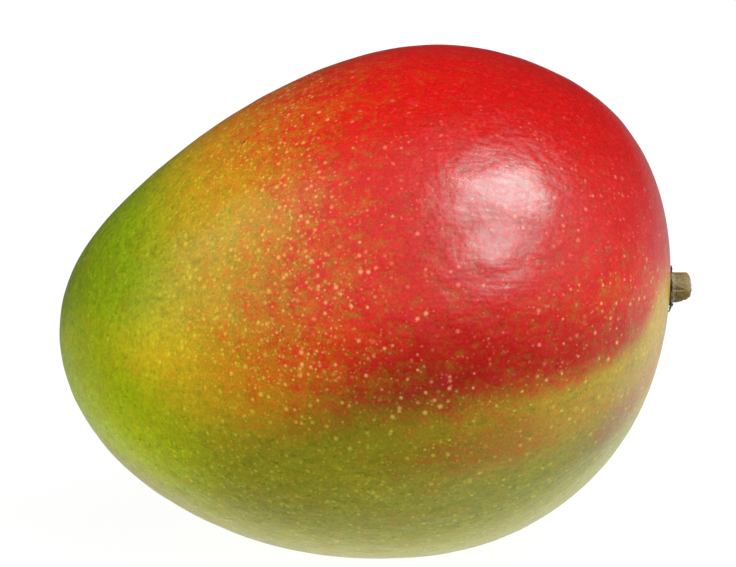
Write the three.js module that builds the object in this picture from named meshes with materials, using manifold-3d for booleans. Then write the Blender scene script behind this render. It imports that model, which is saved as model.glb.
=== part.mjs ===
// A ripe mango lying on its side, with the stub of its stalk and the dried sepals around it.
//
// Millimetres, +Z up. The origin is the centre of the small flat spot that the fruit rests on,
// and +X points along the fruit towards the stalk.

import * as THREE from "three";
import { mergeVertices } from "three/addons/utils/BufferGeometryUtils.js";
import Module from "manifold-3d";

// The fruit. Every cross-section along X is an ellipse. Three smooth Bezier functions, each given
// by its control values from the apex to the stalk end, say how plump the fruit is there, how
// high the middle of the section stands, and how far it bows sideways.
const HALF_LENGTH = 58;
const PLUMPNESS = [41, 39, 54, 46, 60];
const CENTRE_RISE = [-10, -12, 1.5, -5.5, 2.5];
const SIDE_BOW = [4, -1, 0, 0, 0];
const WIDTH_TO_HEIGHT = 1.04;
const REST_FLATTENING = 0.5;
const FRUIT_DETAIL = 14; // how many times each edge of the icosahedron is divided

// The stub of the stalk: a round peg with a worn end, broken off at a slant on its lower side.
const STEM_DROP = 3.3; // how far its axis runs below the tip of the fruit
const STEM_RADIUS = 2.8;
const STEM_LENGTH = 4.2; // what stands out of the skin
const STEM_ROOT = 1.2; // what sits in the socket
const STEM_SIDES = 32;
const BREAK_SLANT = THREE.MathUtils.degToRad(27);
const BREAK_START = 1.2; // how far above the skin the slant begins

// The sepals: dried pointed scraps around the foot of the stalk, the first one on top.
const SEPAL_LENGTHS = [1.9, 1.6, 2.0, 1.7, 1.5];
const SEPAL_LEANS = [40, 62, 76, 34, 66]; // degrees outwards from the axis of the stalk
const SEPAL_WIDTH = 1.5;
const SEPAL_THICKNESS = 0.4;
const SEPAL_LIFT = 0.6; // how far above the skin the middle of a root stands

// The clearance between pieces that touch.
const GAP = 0.3;

const SKIN = new THREE.MeshStandardMaterial({ color: 0xc2342b, roughness: 0.32, metalness: 0 });
const WOOD = new THREE.MeshStandardMaterial({ color: 0x84703a, roughness: 0.8, metalness: 0 });
const HUSK = new THREE.MeshStandardMaterial({ color: 0x3d3328, roughness: 0.9, metalness: 0 });

const wasm = await Module();
wasm.setup();

// A manifold-3d solid with the shape of a closed geometry.
function solidOf(geometry) {
  const bare = geometry.clone();
  bare.deleteAttribute("normal");
  bare.deleteAttribute("uv");
  const merged = mergeVertices(bare);
  return new wasm.Manifold(new wasm.Mesh({
    numProp: 3,
    vertProperties: Float32Array.from(merged.attributes.position.array),
    triVerts: Uint32Array.from(merged.index.array),
  }));
}

// A named mesh with the shape of a manifold-3d solid.
function meshOf(name, solid, material) {
  const { vertProperties, triVerts } = solid.getMesh();
  const geometry = new THREE.BufferGeometry();
  geometry.setAttribute("position", new THREE.BufferAttribute(vertProperties, 3));
  geometry.setIndex(new THREE.BufferAttribute(triVerts, 1));
  geometry.computeVertexNormals();
  const mesh = new THREE.Mesh(geometry, material);
  mesh.name = name;
  return mesh;
}

// The value at t, from 0 to 1, of the Bezier function with these control values.
function bezier(controls, t) {
  let values = controls;
  while (values.length > 1) {
    values = values.slice(1).map((value, i) => THREE.MathUtils.lerp(values[i], value, t));
  }
  return values[0];
}

// The point of the skin that a point of the unit ball is drawn out to, before the fruit is
// placed on its flat spot.
function skinPoint(direction) {
  const t = (1 + direction.x) / 2;
  const plumpness = bezier(PLUMPNESS, t);
  return new THREE.Vector3(
    HALF_LENGTH * direction.x,
    bezier(SIDE_BOW, t) + WIDTH_TO_HEIGHT * plumpness * direction.y,
    bezier(CENTRE_RISE, t) + plumpness * direction.z,
  );
}

// The step that brings the lowest point of the keel a little below the origin, so that the
// ground plane cuts the flat spot.
function stepToRest() {
  const steps = 2000;
  const keel = Array.from({ length: steps + 1 }, (_, i) => {
    const angle = (Math.PI * i) / steps;
    return skinPoint(new THREE.Vector3(-Math.cos(angle), 0, -Math.sin(angle)));
  });
  const lowest = keel.reduce((low, point) => (point.z < low.z ? point : low));
  return new THREE.Vector3(0, 0, -REST_FLATTENING).sub(lowest);
}

const STEP_TO_REST = stepToRest();

// The point where the axis of the stalk leaves the skin.
function stemFoot() {
  const drop = STEM_DROP / PLUMPNESS.at(-1);
  return skinPoint(new THREE.Vector3(Math.sqrt(1 - drop * drop), 0, -drop)).add(STEP_TO_REST);
}

const STEM_FOOT = stemFoot();

// The whole body of the fruit: an even ball, each of whose points is drawn out to the skin.
function body() {
  const ball = new THREE.IcosahedronGeometry(1, FRUIT_DETAIL);
  ball.deleteAttribute("normal");
  ball.deleteAttribute("uv");
  const skin = mergeVertices(ball);
  const position = skin.attributes.position;
  const direction = new THREE.Vector3();
  for (let i = 0; i < position.count; i += 1) {
    const point = skinPoint(direction.fromBufferAttribute(position, i)).add(STEP_TO_REST);
    position.setXYZ(i, point.x, point.y, point.z);
  }
  return skin;
}

// What is taken away for the root of the stalk: a round hole with room around the peg.
function socket() {
  const depth = STEM_ROOT + GAP;
  const radius = STEM_RADIUS + GAP;
  const hole = new THREE.CylinderGeometry(radius, radius, 2 * depth, STEM_SIDES);
  return hole.rotateZ(-Math.PI / 2).translate(STEM_FOOT.x, STEM_FOOT.y, STEM_FOOT.z);
}

// The fruit, cut flat where it rests and hollowed where the stalk sits.
function fruit() {
  const size = 3 * HALF_LENGTH;
  const ground = new THREE.BoxGeometry(size, size, size).translate(0, 0, -size / 2);
  const solid = solidOf(body()).subtract(solidOf(ground)).subtract(solidOf(socket()));
  return meshOf("fruit", solid, SKIN);
}

// The stub, turned about its axis from its root to its end, with its lower side cut at a slant.
function stem() {
  const profile = [
    new THREE.Vector2(0, -STEM_ROOT),
    new THREE.Vector2(STEM_RADIUS - 0.3, -STEM_ROOT),
    new THREE.Vector2(STEM_RADIUS - 0.2, 0.2),
    new THREE.Vector2(STEM_RADIUS, 0.7),
    new THREE.Vector2(STEM_RADIUS, STEM_LENGTH - 1),
    new THREE.Vector2(STEM_RADIUS - 0.2, STEM_LENGTH - 0.5),
    new THREE.Vector2(STEM_RADIUS - 0.7, STEM_LENGTH - 0.1),
    new THREE.Vector2(STEM_RADIUS - 1.5, STEM_LENGTH),
    new THREE.Vector2(0, STEM_LENGTH),
  ];
  const peg = new THREE.LatheGeometry(profile, STEM_SIDES).rotateZ(-Math.PI / 2);
  const size = 3 * STEM_LENGTH;
  const slant = new THREE.BoxGeometry(size, size, size).translate(size / 2, 0, -size / 2);
  slant.rotateY(-BREAK_SLANT).translate(BREAK_START, 0, -STEM_RADIUS);
  const stub = meshOf("stem", solidOf(peg).subtract(solidOf(slant)), WOOD);
  stub.position.copy(STEM_FOOT);
  return stub;
}

// The outline of a sepal that grows along +Y, widest a third of the way up.
function sepalOutline(length) {
  const half = SEPAL_WIDTH / 2;
  const outline = new THREE.Shape();
  outline.moveTo(-0.6 * half, 0);
  outline.quadraticCurveTo(-1.6 * half, 0.5 * length, 0, length);
  outline.quadraticCurveTo(1.6 * half, 0.5 * length, 0.6 * half, 0);
  return outline;
}

// One sepal above the stalk, standing at the foot of it and leaning outwards.
function sepal(name, length, lean) {
  const settings = { depth: SEPAL_THICKNESS, bevelEnabled: false, curveSegments: 6 };
  const blade = new THREE.ExtrudeGeometry(sepalOutline(length), settings);
  blade.translate(0, 0, -SEPAL_THICKNESS / 2).rotateZ(-Math.PI / 2);
  const mesh = new THREE.Mesh(blade, HUSK);
  mesh.name = name;
  mesh.position.set(SEPAL_LIFT, 0, STEM_RADIUS + GAP + SEPAL_THICKNESS / 2);
  mesh.rotation.y = -THREE.MathUtils.degToRad(lean);
  return mesh;
}

// The ring of sepals, each one turned to its place around the stalk.
function calyx() {
  const ring = new THREE.Group();
  ring.position.copy(STEM_FOOT);
  SEPAL_LENGTHS.forEach((length, i) => {
    const turned = new THREE.Group();
    turned.rotation.x = (2 * Math.PI * i) / SEPAL_LENGTHS.length;
    turned.add(sepal(`sepal_${i + 1}`, length, SEPAL_LEANS[i]));
    ring.add(turned);
  });
  return ring;
}

const mango = new THREE.Group();
mango.add(fruit(), stem(), calyx());

export default mango;
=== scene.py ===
import math

import bpy
import numpy as np
from mathutils import Matrix, Vector


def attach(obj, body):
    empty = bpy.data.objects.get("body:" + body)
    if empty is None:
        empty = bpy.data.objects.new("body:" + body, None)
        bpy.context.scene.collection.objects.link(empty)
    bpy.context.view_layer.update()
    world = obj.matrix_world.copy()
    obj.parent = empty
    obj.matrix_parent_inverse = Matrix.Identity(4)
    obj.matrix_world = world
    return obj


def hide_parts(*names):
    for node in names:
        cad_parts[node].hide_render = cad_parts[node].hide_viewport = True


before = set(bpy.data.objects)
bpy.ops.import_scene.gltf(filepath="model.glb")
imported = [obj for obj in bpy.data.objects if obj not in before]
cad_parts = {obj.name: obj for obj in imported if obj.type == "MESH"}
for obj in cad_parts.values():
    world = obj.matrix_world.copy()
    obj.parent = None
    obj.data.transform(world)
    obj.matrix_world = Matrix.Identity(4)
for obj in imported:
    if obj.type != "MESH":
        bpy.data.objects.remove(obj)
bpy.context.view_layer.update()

MM = 0.001

# A ripe mango lying on its side. Shapes are worked out in millimetres in the part's own frame:
# the origin is the middle of the flat spot, +X points along the fruit to the stalk, and +Z is up.

# The fruit. Bezier control values from the apex to the stalk end say how plump the fruit is
# there, how high the middle of the section stands and how far it bows sideways.
HALF_LENGTH = 58
PLUMPNESS = (41, 39, 54, 46, 60)
CENTRE_RISE = (-10, -12, 1.5, -5.5, 2.5)
SIDE_BOW = (4, -1, 0, 0, 0)
WIDTH_TO_HEIGHT = 1.04
REST_FLATTENING = 0.5
REST_SOFTNESS = 0.12

# The stub of the stalk and its socket.
STEM_DROP = 3.3
STEM_RADIUS = 2.8
SOCKET_RADIUS = 3.15
SOCKET_WALL = (SOCKET_RADIUS + 0.35, SOCKET_RADIUS - 0.1)  # the radii of its rim and of its foot
SOCKET_DEPTH = 1.3
BREAK_SLANT = math.radians(27)
BREAK_START = 1.2

# The dried sepals, the first one on top and the rest in turn towards the front: how long each is
# up its middle, and about how many degrees its tip leans out from the axis of the stalk.
SEPAL_LENGTHS = (1.5, 1.7, 2.0, 2.0, 1.8)
SEPAL_LEANS = (80, 88, 108, 62, 84)

# How many waves make up a ripple, and how their lengths spread about its own.
WAVES = 24
WAVELENGTH_SPREAD = (0.75, 1.35)


def bezier(controls, t):
    """The value at t, from 0 to 1, of the Bezier function with these control values."""
    degree = len(controls) - 1
    return sum(
        math.comb(degree, i) * value * t**i * (1 - t) ** (degree - i)
        for i, value in enumerate(controls)
    )


def smooth(start, end, values):
    """A soft step from 0 to 1 as the values go from start to end."""
    t = np.clip((values - start) / (end - start), 0, 1)
    return t * t * (3 - 2 * t)


def lobe(values, middle, reach):
    """A soft bump, 1 at the middle and 0.37 one reach away from it."""
    return np.exp(-(((values - middle) / reach) ** 2))


def ripple(points, wavelength, seed):
    """Random soft waves through space, about -1 to 1, of roughly one wavelength in mm."""
    random = np.random.default_rng(seed)
    way = random.normal(size=(WAVES, 3))
    way /= np.linalg.norm(way, axis=1, keepdims=True)
    waves = way * 2 * math.pi / (wavelength * random.uniform(*WAVELENGTH_SPREAD, (WAVES, 1)))
    phase = random.uniform(0, 2 * math.pi, WAVES)
    return np.cos(points @ waves.T + phase).sum(axis=1) / math.sqrt(WAVES)


def drawn_out(directions):
    """The skin's points that the unit ball's points are drawn out to."""
    dx, dy, dz = directions.T
    t = (1 + dx) / 2
    plumpness = bezier(PLUMPNESS, t)
    return np.stack(
        (
            HALF_LENGTH * dx,
            bezier(SIDE_BOW, t) + WIDTH_TO_HEIGHT * plumpness * dy,
            bezier(CENTRE_RISE, t) + plumpness * dz,
        ),
        axis=1,
    )


def lowest_point():
    """The lowest point of the keel, before the fruit is placed on its flat spot."""
    angle = np.linspace(0, math.pi, 2001)
    keel = np.stack((-np.cos(angle), np.zeros_like(angle), -np.sin(angle)), axis=1)
    points = drawn_out(keel)
    return points[points[:, 2].argmin()]


TO_REST = np.array((0, 0, -REST_FLATTENING)) - lowest_point()
STEM_SINE = STEM_DROP / PLUMPNESS[-1]
STEM_WAY = np.array((math.sqrt(1 - STEM_SINE**2), 0, -STEM_SINE))
STEM_FOOT = drawn_out(STEM_WAY[None])[0] + TO_REST


# ---------------------------------------------------------------- meshes


def mesh_object(name, points_mm, faces, material, fields=None):
    """A smooth mesh object. fields holds a value or a colour for each point, by name."""
    mesh = bpy.data.meshes.new(name)
    mesh.from_pydata((points_mm * MM).tolist(), [], faces)
    mesh.shade_smooth()
    mesh.materials.append(material)
    for field, values in (fields or {}).items():
        if values.ndim == 1:
            mesh.attributes.new(field, "FLOAT", "POINT").data.foreach_set("value", values)
        else:
            rgba = np.concatenate((values, np.ones((len(values), 1))), axis=1)
            colours = mesh.color_attributes.new(field, "FLOAT_COLOR", "POINT")
            colours.data.foreach_set("color", rgba.ravel())
    made = bpy.data.objects.new(name, mesh)
    bpy.context.collection.objects.link(made)
    return made


def polar_faces(rings, segments):
    """Faces of a closed ball of points: a first pole, rings x segments points, a last pole."""
    faces = []
    last = 1 + rings * segments
    for s in range(segments):
        n = (s + 1) % segments
        faces.append((0, 1 + s, 1 + n))
        for r in range(rings - 1):
            a = 1 + r * segments
            b = a + segments
            faces.append((a + s, b + s, b + n, a + n))
        end = 1 + (rings - 1) * segments
        faces.append((end + s, last, end + n))
    return faces


# ---------------------------------------------------------------- the fruit

FRUIT_SEGMENTS = 350
SOCKET_RINGS = 30
SOCKET_REACH = 0.085
BODY_RINGS = 240

# Heights and wavelengths of the skin's unevenness, and the depth and radius of the dip that the
# socket lies in, all in mm. The shoulder around the stalk is left smooth, as a share of the ball.
SWELLS = 0.12
SWELL_LENGTH = 34
DIMPLES = 0.035
DIMPLE_LENGTH = 7
RIM_RAGGEDNESS = 0.10
RIM_LENGTH = 2.6
DIP_DEPTH = 0.28
DIP_RADIUS = 8
SMOOTH_SHOULDER = 0.2


def fruit_directions():
    """Unit directions in rings around the stalk's own direction, close together near it."""
    near = np.linspace(0, SOCKET_REACH, SOCKET_RINGS + 1)[1:]
    far = np.linspace(SOCKET_REACH, math.pi, BODY_RINGS + 2)[1:-1]
    side = np.array((0.0, 1.0, 0.0))
    up = np.cross(STEM_WAY, side)
    turn = np.arange(FRUIT_SEGMENTS) * 2 * math.pi / FRUIT_SEGMENTS
    around = np.cos(turn)[:, None] * up + np.sin(turn)[:, None] * side
    rings = [math.cos(a) * STEM_WAY + math.sin(a) * around for a in (*near, *far)]
    return np.concatenate((STEM_WAY[None], *rings, -STEM_WAY[None]))


def socket_sink(points, ball):
    """How far the skin sinks around the stalk: a shallow dip with the ragged socket in it."""
    from_stem = np.linalg.norm((points - STEM_FOOT)[:, 1:], axis=1)
    ragged = RIM_RAGGEDNESS * ripple(points, RIM_LENGTH, seed=3)
    sink = SOCKET_DEPTH * smooth(*SOCKET_WALL, from_stem + ragged)
    sink = sink + DIP_DEPTH * smooth(DIP_RADIUS, SOCKET_RADIUS, from_stem)
    return np.where(ball[:, 0] > 0, sink, 0)


def fruit_points(ball):
    """The skin's points: the drawn-out ball with its swells, its socket and its flat spot."""
    points = drawn_out(ball)
    outward = points / np.array((HALF_LENGTH**2, PLUMPNESS[2] ** 2, PLUMPNESS[2] ** 2))
    outward /= np.linalg.norm(outward, axis=1, keepdims=True)
    points = points + TO_REST
    relief = SWELLS * ripple(points, SWELL_LENGTH, seed=1)
    relief = relief + DIMPLES * ripple(points, DIMPLE_LENGTH, seed=2)
    away_from_stem = smooth(0, SMOOTH_SHOULDER, 1 - ball @ STEM_WAY)
    points = points + relief[:, None] * outward * away_from_stem[:, None]
    points = points + apex_relief(ball)[:, None] * outward
    points[:, 0] -= socket_sink(points, ball)
    height = points[:, 2]
    points[:, 2] = (height + np.sqrt(height**2 + REST_SOFTNESS**2)) / 2
    return points


# The scar's place on the unit ball, and the mm that the ball's radius stands for near there.
APEX_SCAR = np.array((-0.93, -0.25, 0.27))
APEX_SCALE = 50


def apex_relief(ball):
    """The shallow puckered scar that the flower's style leaves near the apex."""
    scar = APEX_SCAR / np.linalg.norm(APEX_SCAR)
    away = APEX_SCALE * np.linalg.norm(ball - scar, axis=1)
    pit = 0.12 * lobe(away, 0, 1.4)
    pucker = 0.04 * lobe(away, 2.4, 0.9)
    return pucker - pit


# Colours of the skin under the blush, as the shares of red, green and blue that it gives back.
TIP_GREEN = (0.29, 0.43, 0.000)
UNDER_TIP_GREEN = (0.45, 0.56, 0.000)
BUTTER = (0.69, 0.55, 0.012)
RIPE_TOP = (0.64, 0.42, 0.010)
RIPE_SIDE = (0.58, 0.42, 0.011)
RIPE_SHOULDER = (0.49, 0.325, 0.016)
UNDER_OLIVE = (0.235, 0.228, 0.010)
GOLD = (0.345, 0.243, 0.018)
BEIGE = (0.47, 0.305, 0.018)
# The last is painted light, not the skin's colour: a pale underside that stands in for light
# bounced up from below.
UNDERSIDE_BOUNCE_LIGHT = (0.365, 0.345, 0.006)

# The most red pigment that there is over any place, as its natural absorbance of green.
BLUSH_LIMIT = 5.5


def blend(first, second, share):
    """The mix of two colours, each one colour or one for each point."""
    share = np.asarray(share)[:, None]
    return np.asarray(first) * (1 - share) + np.asarray(second) * share


# Places on the skin are given by along, which goes from -1 at the apex to 1 at the stalk end,
# by turn, the angle round the length in degrees: 0 in front, 90 on top and -90 below, and by
# height, which is about the same as turn in front, the same at the back as in front, and goes
# to 0 at both ends, where every turn meets. What the steps and lobes below are given are such
# places.
HEIGHT_FADE = 0.14  # about how near to an end's middle it fades, on the unit ball


def ground_colour(along, height):
    """The skin's own colour, green at the apex and below, ripening to yellow and gold, with
    painted bounce light on the underside.
    """
    above = blend(RIPE_SIDE, RIPE_SHOULDER, smooth(-0.1, 0.4, along))
    above = blend(above, RIPE_TOP, smooth(25, 75, height) * smooth(0.8, -0.1, along))
    above = blend(above, TIP_GREEN, smooth(-0.46, -0.80, along))
    above = blend(above, UNDER_TIP_GREEN, smooth(-0.55, -1.0, along) * smooth(45, 5, height))
    above = blend(above, BUTTER, lobe(along, -0.64, 0.15) * lobe(height, 6, 13))
    below = blend(UNDER_OLIVE, UNDER_TIP_GREEN, smooth(-0.30, -0.85, along))
    below = blend(below, GOLD, smooth(0.05, 0.70, along) * smooth(-36, -22, height))
    below = blend(below, GOLD, smooth(0.7, 0.95, along))
    middle = 3 - 16 * smooth(0.2, -0.4, along)
    colour = blend(above, below, smooth(middle + 12, middle - 12, height))
    # Painted bounce light: low on the underside, all but at the apex, the skin is made paler.
    colour = blend(colour, UNDERSIDE_BOUNCE_LIGHT, smooth(-38, -62, height) * smooth(-0.98, -0.75, along))
    return blend(colour, BEIGE, smooth(0.84, 0.97, along))


def blush_from_tip(along, turn):
    """How the blush deepens from the apex to the stalk end, above its lower edges."""
    limit = BLUSH_LIMIT - 2.1 * smooth(55, 5, turn)
    limit = limit - 1.3 * smooth(0.35, 0.9, along) * smooth(35, 5, turn)
    start = -0.62 + 0.17 * lobe(turn, 38, 17)
    full = 0.42 - 0.06 * lobe(turn, 35, 18) + 0.1 * smooth(45, 70, turn)
    return limit * smooth(start, full, along) + 0.17 * smooth(-0.72, -0.5, along)


def blush_in_front(along, turn):
    """The blush's share above its lower edge in front: 1 well above it and 0 well below."""
    edge = -7.1 - 0.6 * lobe(along, 0.25, 0.25) - 3.5 * smooth(0, -0.3, along)
    edge = edge - 1.5 * lobe(along, 0.66, 0.12) + 24 * smooth(0.86, 0.98, along)
    softness = 14 - 7 * smooth(-0.2, 0.65, along) + 14 * smooth(0.86, 0.97, along)
    return smooth(-softness, softness, turn - edge)


def blush_at_the_back(along, turn):
    """The blush's share above its wavy lower edge at the back."""
    over_the_top = np.where(turn < -90, turn + 360, turn)
    return smooth(178, 142, over_the_top + 10 * np.sin(3 * along))


def blush_density(along, turn):
    """How much red pigment the sun has brought out, over the top and the stalk end."""
    whole = blush_from_tip(along, turn) * blush_in_front(along, turn)
    whole = whole * blush_at_the_back(along, turn)
    streak = 0.6 * lobe(along, 0.36, 0.24) * lobe(turn, -22, 7)
    cheek = 0.55 * lobe(along, 0.82, 0.12) * lobe(turn, -36, 8)
    return whole + streak + cheek


def lenticel_crowding(along, turn, blush):
    """How many of the skin's pale dots show: most where the blush fades, few high on the red."""
    high = smooth(-0.4, 0.3, along) * smooth(35, 70, turn)
    fading = lobe(blush, 1.3, 1.2) * (0.45 + 0.55 * smooth(0.3, -0.1, along))
    fading = fading * (0.3 + 0.7 * smooth(-10, 6, turn))
    olive = smooth(0.55, 0.2, along) * lobe(turn, -30, 15)
    most = 0.42 * fading + 0.3 * olive + 0.3 * lobe(along, -0.46, 0.13)
    least = 0.3 * high + 0.2 * smooth(-0.5, -0.85, along) + 0.2 * smooth(2, 3.5, blush)
    return 0.46 + most - least


def make_fruit(material):
    ball = fruit_directions()
    along, across, up = ball.T
    turn = np.degrees(np.arctan2(up, -across))
    height = np.degrees(np.arctan2(up, np.hypot(across, HEIGHT_FADE)))
    blush = blush_density(along, turn)
    fields = {
        "ground": ground_colour(along, height),
        "blush": blush,
        "crowding": lenticel_crowding(along, turn, blush),
    }
    faces = polar_faces(SOCKET_RINGS + BODY_RINGS, FRUIT_SEGMENTS)
    return mesh_object("fruit_skin", fruit_points(ball), faces, material, fields)


# ---------------------------------------------------------------- the stub of the stalk

# The stub's outline, by the distance along its axis from the skin and the radius there.
STEM_PROFILE = (
    (-1.2, 2.45),
    (-0.3, 2.5),
    (0.0, 2.7),
    (0.2, 2.95),
    (0.55, 3.02),
    (0.85, 2.95),
    (1.15, 2.86),
    (1.8, 2.9),
    (2.7, 2.92),
    (3.25, 2.88),
    (3.6, 2.7),
    (3.9, 2.2),
    (4.15, 1.2),
    (4.2, 0.4),
)
STUB_RAISED = 0.2  # how far the stub sits above its axis, outside the socket
STEM_END = (3.7, 4.1)  # where along the axis the worn face of the end begins, and is all worn
STEM_SEGMENTS = 144
STEM_STEPS = 8


def fine_profile(profile, steps):
    """The profile's points with straight steps between them, evened out into soft corners."""
    x, r = np.array(profile).T
    count = (len(profile) - 1) * steps + 1
    at = np.linspace(0, len(profile) - 1, count)
    known = np.arange(len(profile))
    line = np.stack((np.interp(at, known, x), np.interp(at, known, r)), axis=1)
    for _ in range(steps):
        line[1:-1] = (line[:-2] + 2 * line[1:-1] + line[2:]) / 4
    return line


def bark_relief(x, angle):
    """What the stub's radius is multiplied by, for ribs and furrows that run along it."""
    around = (STEM_RADIUS * np.cos(angle), STEM_RADIUS * np.sin(angle))
    rim = np.stack((x * 0.35, *around), axis=1)
    ribs = 0.07 * ripple(rim, 1.5, seed=11) + 0.03 * ripple(rim, 0.5, seed=12)
    furrows = 0.14 * smooth(0.9, 1.5, ripple(rim * (0.4, 1, 1), 1.1, seed=13))
    return 1 + (ribs - furrows) / STEM_RADIUS


def stem_points():
    """The stub about its own axis, +X outwards, and which of its points are on the break."""
    line = fine_profile(STEM_PROFILE, STEM_STEPS)
    angle = np.arange(STEM_SEGMENTS) * 2 * math.pi / STEM_SEGMENTS
    x = np.repeat(line[:, 0], STEM_SEGMENTS)
    radius = np.repeat(line[:, 1], STEM_SEGMENTS)
    angle = np.tile(angle, len(line))
    shrink = bark_relief(x, angle)
    y = radius * np.cos(angle) * shrink
    z = radius * np.sin(angle) * shrink
    points = np.stack((x, y, z), axis=1)
    worn = 0.09 * ripple(points, 1.3, seed=14) + 0.03 * ripple(points, 0.45, seed=15)
    points[:, 0] += worn * smooth(*STEM_END, x)
    cut = -STEM_RADIUS + math.tan(BREAK_SLANT) * (points[:, 0] - BREAK_START)
    cut = cut + 0.09 * ripple(points, 0.9, seed=16) + 0.05 * ripple(points, 0.35, seed=17)
    torn = (points[:, 0] > BREAK_START) & (points[:, 2] < cut)
    points[torn, 2] = cut[torn]
    points[:, 2] += STUB_RAISED * smooth(-0.5, 0.5, points[:, 0])
    first = np.array(((line[0, 0], 0, 0),))
    last = np.array((points[-STEM_SEGMENTS:].mean(axis=0),))
    return np.concatenate((first, points, last)), np.concatenate(((0,), torn, (0,)))


STALK_COLLAR = (0.20, 0.165, 0.09)
STALK_OLIVE = (0.145, 0.115, 0.035)
STALK_GOLD = (0.185, 0.125, 0.034)
STALK_GREY = (0.27, 0.21, 0.135)
# Also used as painted shade at the stub's foot and under its end.
STALK_DARK = (0.05, 0.034, 0.016)


def stem_colour(points, torn):
    x, y, z = points.T
    patches = ripple(points, 2.2, seed=21)
    colour = blend(STALK_OLIVE, STALK_GOLD, smooth(1.8, 2.8, x + 0.35 * patches))
    colour = blend(colour, STALK_GREY, smooth(3.3, 4.0, x) * smooth(-0.4, 1.2, z + 0.5 * patches))
    colour = blend(colour, STALK_COLLAR, smooth(1.0, 0.6, x + 0.1 * patches))
    # The torn face is darker, and the end darker still below: painted shade under the end.
    shade_under_end = smooth(2.6, 4.2, x) * smooth(0.6, -1.4, z)
    colour = blend(colour, STALK_DARK, np.maximum(0.75 * torn, 0.85 * shade_under_end))
    # Painted shade: the stub darkens at its foot, where it goes into the socket.
    return blend(colour, STALK_DARK, smooth(0.3, 0.0, x))


def make_stem(material):
    points, torn = stem_points()
    rings = (len(points) - 2) // STEM_SEGMENTS
    fields = {"tone": stem_colour(points, torn)}
    faces = polar_faces(rings, STEM_SEGMENTS)
    return mesh_object("stem_bark", points + STEM_FOOT, faces, material, fields)


# ---------------------------------------------------------------- the dried sepals

SEPAL_ROOT_RADIUS = 3.12
SEPAL_THICKNESS = 0.2
SEPAL_ALONG, SEPAL_ACROSS = 36, 28
SEPAL_HALF_WIDTHS = (1.5, 1.35, 0.9, 0.75, 0.6, 0.1)  # Bezier control values, foot to tip
SEPALS_APART = 9.0  # how far apart in the random waves the sepals are, so that they differ


def sepal_middle(length, lean):
    """The line up the middle of a sepal: how far out along the stalk, and from its axis."""
    u = np.linspace(0, 1, SEPAL_ALONG)
    angle = np.radians(lean * smooth(-0.3, 0.5, u) + 8 * np.sin(9 * u))
    step = length / (SEPAL_ALONG - 1)
    x = 0.02 + np.concatenate(((0,), np.cumsum(np.cos(angle) * step)[:-1]))
    radius = SEPAL_ROOT_RADIUS + np.concatenate(((0,), np.cumsum(np.sin(angle) * step)[:-1]))
    return u, x, radius, angle


def sepal_points(number, length, lean):
    """Both faces of one sepal: a ragged scale that clasps the stalk and curls outwards."""
    u, x, radius, angle = sepal_middle(length, lean)
    half = np.array([bezier(SEPAL_HALF_WIDTHS, t) for t in u])
    v = np.linspace(-1, 1, SEPAL_ACROSS)
    grid_u, grid_v = np.meshgrid(u, v, indexing="ij")
    own = np.full(grid_u.size, SEPALS_APART * number)
    flat = np.stack((grid_u.ravel() * 5, grid_v.ravel() * 1.2, own), axis=1)
    ragged = ripple(flat, 0.9, seed=31 + number).reshape(grid_u.shape)
    wrinkle = ripple(flat, 1.3, seed=41 + number).reshape(grid_u.shape)
    across = grid_v * half[:, None] * (1 + 0.22 * ragged * np.abs(grid_v))
    turn = 2 * math.pi * number / len(SEPAL_LENGTHS) + across / SEPAL_ROOT_RADIUS
    lift = 0.10 * wrinkle * smooth(0.1, 0.4, grid_u) + 0.15 * grid_v**2 * smooth(0.3, 1, grid_u)
    faces = []
    for side in (-1, 1):
        thick = lift + side * SEPAL_THICKNESS / 2 * (1 - 0.75 * grid_v**2) * (1.05 - grid_u**3)
        out = radius[:, None] + thick * np.cos(angle)[:, None]
        along = x[:, None] - thick * np.sin(angle)[:, None]
        faces.append(np.stack((along, -out * np.sin(turn), out * np.cos(turn)), axis=-1))
    return np.concatenate([face.reshape(-1, 3) for face in faces])


def sepal_faces():
    """Quads of the inner and the outer face, and the strip that joins them all round."""
    rows, columns = SEPAL_ALONG, SEPAL_ACROSS
    total = rows * columns
    faces = []
    for r in range(rows - 1):
        for c in range(columns - 1):
            a = r * columns + c
            faces.append((a, a + 1, a + columns + 1, a + columns))
            faces.append((total + a + columns, total + a + columns + 1, total + a + 1, total + a))
    edge = list(range(columns))
    edge += [r * columns + columns - 1 for r in range(1, rows)]
    edge += [(rows - 1) * columns + c for c in range(columns - 2, -1, -1)]
    edge += [r * columns for r in range(rows - 2, 0, -1)]
    for a, b in zip(edge, edge[1:] + edge[:1]):
        faces.append((b, a, total + a, total + b))
    return faces


def make_sepal(number, length, lean, material):
    points = sepal_points(number, length, lean) + STEM_FOOT
    return mesh_object(f"sepal_scale_{number + 1}", points, sepal_faces(), material)


# ---------------------------------------------------------------- node maths


class Value:
    """A number that comes out of a shader node and takes plain arithmetic."""

    def __init__(self, socket):
        self.socket = socket

    def __add__(self, other):
        return maths("ADD", self, other)

    def __sub__(self, other):
        return maths("SUBTRACT", self, other)

    def __rsub__(self, other):
        return maths("SUBTRACT", other, self)

    def __mul__(self, other):
        return maths("MULTIPLY", self, other)

    __radd__ = __add__


def plug(given, socket):
    """Gives a socket its number, or links it to where the number comes from."""
    if isinstance(given, Value):
        given = given.socket
    if isinstance(given, bpy.types.NodeSocket):
        socket.id_data.links.new(given, socket)
    else:
        socket.default_value = given


def new_node(kind, *given):
    """A new node in the tree of the first value or socket among those given."""
    for one in given:
        if isinstance(one, Value):
            return one.socket.id_data.nodes.new(kind)
        if isinstance(one, bpy.types.NodeSocket):
            return one.id_data.nodes.new(kind)
    raise ValueError("no value or socket given")


def maths(operation, *given):
    """What a maths node makes of numbers and values."""
    node = new_node("ShaderNodeMath", *given)
    node.operation = operation
    for one, socket in zip(given, node.inputs):
        plug(one, socket)
    return Value(node.outputs[0])


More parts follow.
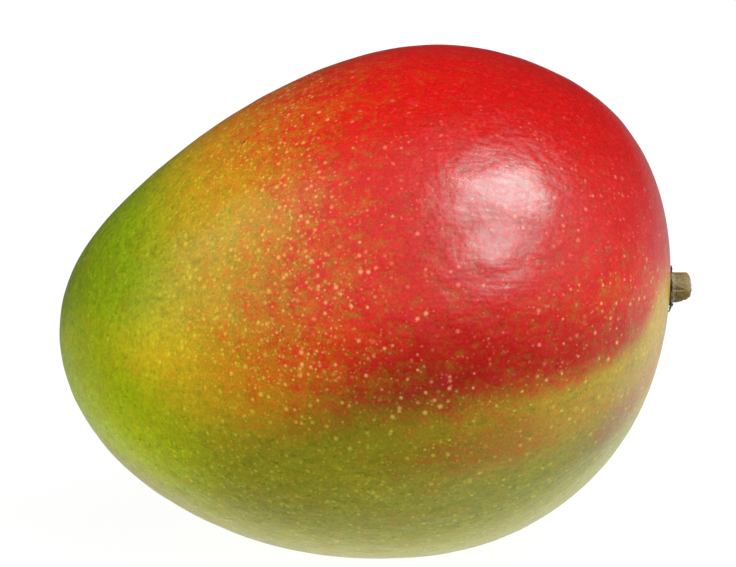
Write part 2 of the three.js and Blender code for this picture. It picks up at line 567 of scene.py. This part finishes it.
def soft_step(value, start, end, low=0.0, high=1.0):
    """Goes smoothly from low to high as the value goes from start to end."""
    node = new_node("ShaderNodeMapRange", value)
    node.interpolation_type = "SMOOTHSTEP"
    plug(value, node.inputs["Value"])
    plug(start, node.inputs["From Min"])
    plug(end, node.inputs["From Max"])
    plug(low, node.inputs["To Min"])
    plug(high, node.inputs["To Max"])
    return Value(node.outputs["Result"])


def stretched(place, factors):
    """The place with each of its coordinates multiplied, so that a pattern runs along one."""
    node = new_node("ShaderNodeVectorMath", place)
    node.operation = "MULTIPLY"
    plug(place, node.inputs[0])
    node.inputs[1].default_value = factors
    return node.outputs[0]


def noise(place, size, detail=2.0):
    """Soft random noise, from about -1 to 1, whose blots are about the given size in mm."""
    node = new_node("ShaderNodeTexNoise", place)
    plug(place, node.inputs["Vector"])
    node.inputs["Scale"].default_value = 1 / (size * MM)
    node.inputs["Detail"].default_value = detail
    return Value(node.outputs["Fac"]) * 4.0 - 2.0


def scattered(place, spacing):
    """Points scattered about spacing mm apart: how far the nearest is, and two numbers of its own.

    The distance is in mm, and the two numbers are random, from 0 to 1.
    """
    node = new_node("ShaderNodeTexVoronoi", place)
    plug(place, node.inputs["Vector"])
    node.inputs["Scale"].default_value = 1 / (spacing * MM)
    split = new_node("ShaderNodeSeparateColor", place)
    plug(node.outputs["Color"], split.inputs[0])
    away = Value(node.outputs["Distance"]) * spacing
    return away, Value(split.outputs[0]), Value(split.outputs[1])


def mixed(first, second, share, blend_type="MIX"):
    """The first colour with the given share of the second mixed in, or of their product."""
    node = new_node("ShaderNodeMix", share, first, second)
    node.data_type = "RGBA"
    node.blend_type = blend_type
    node.clamp_result = False
    plug(share, node.inputs["Factor"])
    colours = [socket for socket in node.inputs if socket.type == "RGBA"]
    for given, socket in zip((first, second), colours):
        plug((*given, 1.0) if isinstance(given, tuple) else given, socket)
    return next(socket for socket in node.outputs if socket.type == "RGBA")


def grey(value):
    """A colour whose three parts are the value."""
    node = new_node("ShaderNodeCombineColor", value)
    for socket in node.inputs:
        plug(value, socket)
    return node.outputs[0]


def field_node(place, name):
    """The node that reads a field of the mesh, in the same tree as the place."""
    node = new_node("ShaderNodeAttribute", place)
    node.attribute_name = name
    return node


def number_field(place, name):
    """A number that the mesh carries for each of its points."""
    return Value(field_node(place, name).outputs["Fac"])


def colour_field(place, name):
    """A colour that the mesh carries for each of its points."""
    return field_node(place, name).outputs["Color"]


def new_material(name):
    """A material and its shader."""
    material = bpy.data.materials.new(name)
    material.use_nodes = True
    return material, material.node_tree.nodes["Principled BSDF"]


def place_in(material):
    """The place of each point of the surface, in metres in the part's own frame."""
    return material.node_tree.nodes.new("ShaderNodeTexCoord").outputs["Object"]


def set_relief(shader, height, depth):
    """Bumps of the given height, from 0 to 1, that stand depth mm out."""
    bump = new_node("ShaderNodeBump", height)
    bump.inputs["Distance"].default_value = depth * MM
    plug(height, bump.inputs["Height"])
    plug(bump.outputs["Normal"], shader.inputs["Normal"])


# ---------------------------------------------------------------- materials

RED_PIGMENT_LETS_THROUGH = (0.975, 0.368, 0.62)
LENTICEL_CREAM = (0.98, 0.84, 0.12)
LENTICEL_PINK = (1.0, 0.54, 0.32)
SHEEN_PINK = (0.85, 0.44, 0.44)
SPECK_BROWN = (0.07, 0.05, 0.012)
SKIN_SPECULAR_TINT = (0.2, 1.0, 0.97, 1)
SKIN_ROUGHNESS = 0.34
WAX_WEIGHT = 0.36
WAX_ROUGHNESS = 0.2
SKIN_RELIEF = 0.03  # in mm

# The sizes in mm of the noises that mottle the skin, and how the streaks are drawn out along it.
BLOT_SIZE = 4.0
PATCH_SIZE = 1.9
GRAIN_SIZE = 0.9
FINE_SIZE = 0.42
STREAK_SIZE = 1.3
STREAK_STRETCH = (0.3, 1, 1)

# How far apart the lenticels are in mm, in a coarse and a fine set, and the least radius of each
# set and how much more the largest ones have. A dot starts to show where its luck and the
# crowding add up to the first number, and shows fully where they add up to the second.
DOT_SPACING = 1.45
DOT_RADIUS = (0.34, 0.34)
FLECK_SPACING = 0.9
FLECK_RADIUS = (0.20, 0.20)
DOT_SHOWS = (0.85, 1.35)

# The brown specks, in the same way. Only those with the most luck show.
SPECK_SPACING = 8.0
SPECK_RADIUS = (0.25, 0.35)
SPECK_SHOWS = (0.80, 0.82)


def absorbed(density):
    """What a layer of red pigment lets through, as a colour."""
    node = new_node("ShaderNodeCombineColor", density)
    for share, socket in zip(RED_PIGMENT_LETS_THROUGH, node.inputs):
        plug(maths("POWER", share, density), socket)
    return node.outputs[0]


def lenticels(place, spacing, smallest, spread, crowding):
    """Scattered soft round dots, 1 in their middles, with radii in mm from the smallest up."""
    away, luck, size = scattered(place, spacing)
    radius = smallest + size * spread
    return soft_step(away, radius, radius * 0.2) * soft_step(luck + crowding, *DOT_SHOWS)


class SkinTexture:
    """The noises that mottle the skin, from the broadest to the finest, and its lenticels."""

    def __init__(self, place, crowding):
        self.blots = noise(place, BLOT_SIZE, 1)
        self.patches = noise(place, PATCH_SIZE, 0)
        self.grain = noise(place, GRAIN_SIZE, 0)
        self.fine = noise(place, FINE_SIZE, 0)
        self.streaks = noise(stretched(place, STREAK_STRETCH), STREAK_SIZE, 1)
        dot = lenticels(place, DOT_SPACING, *DOT_RADIUS, crowding)
        fleck = lenticels(place, FLECK_SPACING, *FLECK_RADIUS, crowding + 0.15)
        fleck = fleck * soft_step(crowding, 0.6, 0.85, 0.46, 0.8)
        self.pale = maths("MAXIMUM", dot, fleck)


def pigment_density(blush, skin):
    """The red pigment over each point: the blush and a faint tan, mottled, thin in lenticels."""
    cloud = skin.blots + skin.patches * 0.7 + skin.streaks * 0.4
    tan = soft_step(cloud, -0.5, 1.4, 0.0, 0.12)
    uneven = skin.blots * 0.24 + skin.patches * 0.24 + skin.grain * 0.36 + skin.streaks * 0.26
    spared = skin.pale * soft_step(blush, 1.0, 3.5, 0.65, 0.5)
    return (blush + tan) * maths("POWER", math.e, uneven) * (1.0 - spared)


def lightness(blush, skin):
    """The fine light and dark of the skin, as a factor of about 1."""
    sharp = (skin.grain * 0.12 + skin.fine * 0.15) * soft_step(blush, 0.1, 1.2, 0.75, 1.0)
    streaked = skin.streaks * soft_step(blush, 0.1, 1.2, 0.13, 0.09)
    return 1.0 + streaked + sharp + skin.patches * 0.07 + skin.pale * 0.2


def brown_specks(place):
    """A few scattered specks, 1 in their middles."""
    away, luck, size = scattered(place, SPECK_SPACING)
    smallest, spread = SPECK_RADIUS
    return soft_step(away, smallest + size * spread, 0.1) * soft_step(luck, *SPECK_SHOWS)


def skin_colour(place, blush, skin):
    """The skin's colour: its ground seen through the pigment, with painted sheen, lenticels and
    specks.
    """
    reddened = soft_step(blush, 0.3, 1.6)
    ground = colour_field(place, "ground")
    colour = mixed(ground, grey(lightness(blush, skin)), 1.0, "MULTIPLY")
    colour = mixed(colour, absorbed(pigment_density(blush, skin)), 1.0, "MULTIPLY")
    # Painted sheen: a faint pale pink haze mottled over the red, standing in for the waxy skin's
    # broken reflection.
    cloud = skin.patches + skin.grain * 0.8 + skin.streaks * 0.6
    painted_sheen = soft_step(cloud, 0.3, 1.8, 0.0, 0.022)
    colour = mixed(colour, SHEEN_PINK, painted_sheen * reddened)
    lenticel = mixed(LENTICEL_CREAM, LENTICEL_PINK, reddened)
    colour = mixed(colour, lenticel, skin.pale * (0.18 + reddened * 0.12))
    return mixed(colour, SPECK_BROWN, brown_specks(place) * 0.7)


def skin_relief(skin):
    """The height of the skin's fine unevenness, from 0 to 1."""
    broad = skin.blots * 0.9 + skin.patches * 0.6 + skin.streaks * 0.7
    return 0.5 + broad + skin.grain * 0.35 + skin.fine * 0.15 + skin.pale * 0.35


def skin_material():
    material, shader = new_material("mango_skin")
    place = place_in(material)
    blush = number_field(place, "blush")
    skin = SkinTexture(place, number_field(place, "crowding"))
    plug(skin_colour(place, blush, skin), shader.inputs["Base Color"])
    roughness = SKIN_ROUGHNESS + skin.grain * 0.06 + skin.blots * 0.04
    plug(roughness, shader.inputs["Roughness"])
    shader.inputs["Specular Tint"].default_value = SKIN_SPECULAR_TINT
    shader.inputs["Coat Weight"].default_value = WAX_WEIGHT
    shader.inputs["Coat Roughness"].default_value = WAX_ROUGHNESS
    set_relief(shader, skin_relief(skin), SKIN_RELIEF)
    return material


def stalk_material():
    material, shader = new_material("stalk_bark")
    place = place_in(material)
    tone = colour_field(place, "tone")
    fibres = noise(stretched(place, (0.25, 1, 1)), 0.35, 3)
    flecks = noise(place, 0.22, 3)
    light = 1.0 + fibres * 0.28 + flecks * 0.22
    plug(mixed(tone, grey(light), 1.0, "MULTIPLY"), shader.inputs["Base Color"])
    plug(0.45 + flecks * 0.12, shader.inputs["Roughness"])
    set_relief(shader, 0.5 + fibres * 0.3 + flecks * 0.2, 0.12)
    return material


HUSK_DARK = (0.06, 0.048, 0.03)
HUSK_PALE = (0.22, 0.19, 0.13)


def husk_material():
    material, shader = new_material("dried_husk")
    place = place_in(material)
    fibres = noise(stretched(place, (0.35, 1, 1)), 0.25, 3)
    flecks = noise(place, 0.5, 2)
    pale = soft_step(fibres + flecks * 0.6, -0.1, 1.1)
    plug(mixed(HUSK_DARK, HUSK_PALE, pale), shader.inputs["Base Color"])
    plug(0.8 + flecks * 0.08, shader.inputs["Roughness"])
    set_relief(shader, 0.5 + fibres * 0.4, 0.08)
    return material


PAPER_GREY = (0.06, 0.06, 0.06, 1)
PAPER_ROUGHNESS = 0.9
PAPER_GLOW = 0.96


def floor_material():
    """White paper, which glows so that the camera sees it as evenly lit."""
    material, shader = new_material("white_paper")
    shader.inputs["Base Color"].default_value = PAPER_GREY
    shader.inputs["Roughness"].default_value = PAPER_ROUGHNESS
    shader.inputs["Emission Color"].default_value = (1, 1, 1, 1)
    shader.inputs["Emission Strength"].default_value = PAPER_GLOW
    material.cycles.emission_sampling = "NONE"
    return material


# ---------------------------------------------------------------- the studio, in metres

FLOOR_RADIUS = 9.0
FLOOR_SIDES = 96
FRUIT_MIDDLE = Vector((0, 0, 0.05))

# What the skin mirrors besides the lamps, by radiance: a dark room that is brighter upwards in
# front, downwards behind, to the right and, most of all, the table's way.
TABLE_WAY = (0.42, 0.5, -0.76)
TABLE_SPREAD = (0.42, 0.92)  # cosines of the angles to it where the table's light starts and ends
MIRRORED_DARK = 0.035
MIRRORED_FRONT = 0.42
MIRRORED_TABLE = 0.46
MIRRORED_REAR = 0.28
MIRRORED_SIDE = 0.2

# The lamps, by the way to each from the fruit, the way that its width runs, its distance in
# metres, the angles that it fills in degrees, its radiance and whether the skin mirrors it.
KEY_ACROSS = (0.55, 0.36, -0.21)
LAMPS = {
    "key": ((0.442, -0.35, 0.828), KEY_ACROSS, 6.0, (30, 19.5), 14.0, True),
    "key_lower": ((0.478, -0.70, 0.53), KEY_ACROSS, 6.0, (17, 16.5), 11.5, True),
    "fill": ((0.25, -0.20, 0.95), KEY_ACROSS, 6.0, (60, 60), 0.68, False),
    "glow_below": ((0, 0, -1), (1, 0, 0), 0.5, (140, 140), 1.09, False),
    "left_fill": ((-1, -0.4, -0.35), (0, 1, 0), 2.0, (90, 60), 0.36, False),
    "right_fill": ((1, -0.2, 0.1), (0, 1, 0), 2.0, (80, 60), 0.40, False),
    "left_panel": ((-0.75, -0.05, 0.66), (0.37, -0.25, 0.36), 2.0, (34, 14), 0.6, True),
}

SENSOR_WIDTH = 36
CAMERA_ELEVATION = 12
CAMERA_DISTANCE = 0.7
CAMERA_TARGET = (-0.0016, 0, 0.0518)
PICTURE_WIDTH = 0.13984  # metres across the picture at the fruit's middle


def make_floor():
    """The floor, which only the camera sees: the skin is lit from below by a lamp instead."""
    mesh = bpy.data.meshes.new("floor")
    rim = np.arange(FLOOR_SIDES) * 2 * math.pi / FLOOR_SIDES
    points = [(FLOOR_RADIUS * math.cos(a), FLOOR_RADIUS * math.sin(a), 0) for a in rim]
    mesh.from_pydata(points, [], [tuple(range(FLOOR_SIDES))])
    mesh.materials.append(floor_material())
    floor = bpy.data.objects.new("floor", mesh)
    floor.visible_diffuse = False
    floor.visible_glossy = False
    floor.visible_shadow = False
    bpy.context.collection.objects.link(floor)


def softbox(name, towards, across, distance, angles, radiance, mirrored):
    """A rectangular lamp that fills the given angles, in degrees, as seen from the fruit."""
    back = Vector(towards).normalized()
    side = Vector(across)
    side = (side - back * side.dot(back)).normalized()
    width, height = (2 * distance * math.tan(math.radians(a / 2)) for a in angles)
    lamp = bpy.data.lights.new(name, "AREA")
    lamp.shape = "RECTANGLE"
    lamp.size, lamp.size_y = width, height
    lamp.energy = radiance * width * height * math.pi
    light = bpy.data.objects.new(name, lamp)
    turn = Matrix((side, back.cross(side), back)).transposed().to_4x4()
    light.matrix_world = Matrix.Translation(FRUIT_MIDDLE + back * distance) @ turn
    light.visible_camera = False
    light.visible_glossy = mirrored
    lamp.cycles.use_multiple_importance_sampling = mirrored
    bpy.context.collection.objects.link(light)


def make_world():
    """The room, which the skin mirrors and is faintly lit by. The camera sees plain white."""
    world = bpy.data.worlds.new("studio")
    bpy.context.scene.world = world
    world.use_nodes = True
    world.cycles.sampling_method = "NONE"
    tree = world.node_tree
    direction = tree.nodes.new("ShaderNodeTexCoord").outputs["Generated"]
    split = tree.nodes.new("ShaderNodeSeparateXYZ")
    plug(direction, split.inputs[0])
    x, y, z = (Value(output) for output in split.outputs)
    to_table = tree.nodes.new("ShaderNodeVectorMath")
    to_table.operation = "DOT_PRODUCT"
    to_table.inputs[1].default_value = Vector(TABLE_WAY).normalized()
    plug(direction, to_table.inputs[0])
    table = soft_step(Value(to_table.outputs["Value"]), *TABLE_SPREAD)
    front = soft_step(z, -0.02, 0.22) * soft_step(y, 0.25, -0.05)
    rear = soft_step(z, 0.1, -0.5) * soft_step(y, 0.25, 0.6)
    side = soft_step(x, 0.6, 0.88) * soft_step(z, -0.45, -0.2)
    gleam = MIRRORED_DARK + front * MIRRORED_FRONT + table * MIRRORED_TABLE
    gleam = gleam + rear * MIRRORED_REAR + side * MIRRORED_SIDE
    seen = Value(tree.nodes.new("ShaderNodeLightPath").outputs["Is Camera Ray"])
    background = tree.nodes["Background"]
    background.inputs["Color"].default_value = (1, 1, 1, 1)
    plug(gleam + seen * (1.0 - gleam), background.inputs["Strength"])


def make_camera():
    camera = bpy.data.cameras.new("camera")
    camera.sensor_width = SENSOR_WIDTH
    camera.lens = SENSOR_WIDTH * CAMERA_DISTANCE / PICTURE_WIDTH
    made = bpy.data.objects.new("camera", camera)
    bpy.context.collection.objects.link(made)
    elevation = math.radians(CAMERA_ELEVATION)
    back = Vector((0, -math.cos(elevation), math.sin(elevation)))
    made.location = Vector(CAMERA_TARGET) + back * CAMERA_DISTANCE
    made.rotation_mode = "QUATERNION"
    made.rotation_quaternion = back.to_track_quat("Z", "Y")
    bpy.context.scene.camera = made


def settle(piece, node):
    """Ties a piece to the part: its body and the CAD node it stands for."""
    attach(piece, "root")
    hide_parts(node)


settle(make_fruit(skin_material()), "fruit")
settle(make_stem(stalk_material()), "stem")
husk = husk_material()
for number, (length, lean) in enumerate(zip(SEPAL_LENGTHS, SEPAL_LEANS)):
    settle(make_sepal(number, length, lean, husk), f"sepal_{number + 1}")

make_floor()
make_camera()
for lamp_name, settings in LAMPS.items():
    softbox(lamp_name, *settings)
make_world()
bpy.context.scene.view_settings.view_transform = "Standard"
